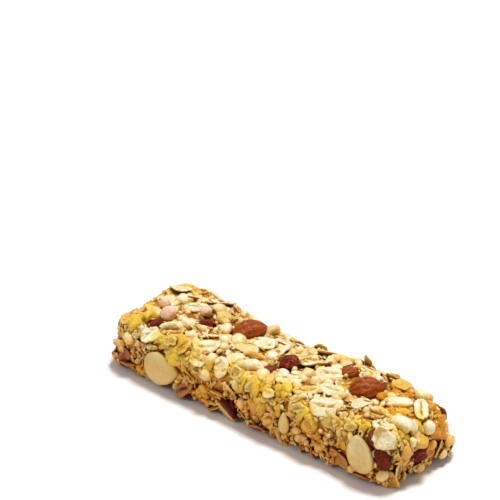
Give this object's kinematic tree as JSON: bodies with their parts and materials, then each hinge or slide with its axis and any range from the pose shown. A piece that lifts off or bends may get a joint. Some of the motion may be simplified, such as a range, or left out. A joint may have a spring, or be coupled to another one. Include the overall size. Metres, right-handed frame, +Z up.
{
  "type": "granola bar",
  "caption": "Unwrapped granola bar: a pressed oblong of oat flakes, grain crisps and dried fruit in syrup, studded with hazelnut pieces, almond slices and cranberries.",
  "frame": {"origin": "on the table, under the middle of the bar's bounding box", "axes": "+X along the bar's length, +Y across it towards the back, +Z up; it rests on its flat bottom"},
  "size_m": [0.1018, 0.032, 0.0195],
  "materials": {
    "granola": "golden oat flakes, pale grain crisps and amber fruit under a thin glossy syrup coat",
    "hazelnut": "roasted red-brown nut skin with a faint sheen",
    "almond": "pale cut almond with a brown rim of skin",
    "cranberry": "dark red, wrinkled and sticky"
  },
  "bodies": {
    "root": {"bar": "granola", "hazelnut_1": "hazelnut", "hazelnut_2": "hazelnut", "hazelnut_3": "hazelnut", "hazelnut_4": "hazelnut", "hazelnut_5": "hazelnut", "hazelnut_6": "hazelnut", "hazelnut_7": "hazelnut", "hazelnut_8": "hazelnut", "almond_slice_1": "almond", "almond_slice_2": "almond", "almond_slice_3": "almond", "almond_slice_4": "almond", "almond_slice_5": "almond", "almond_slice_6": "almond", "almond_slice_7": "almond", "cranberry_1": "cranberry", "cranberry_2": "cranberry", "cranberry_3": "cranberry", "cranberry_4": "cranberry", "cranberry_5": "cranberry", "cranberry_6": "cranberry", "cranberry_7": "cranberry"}
  },
  "joints": []
}
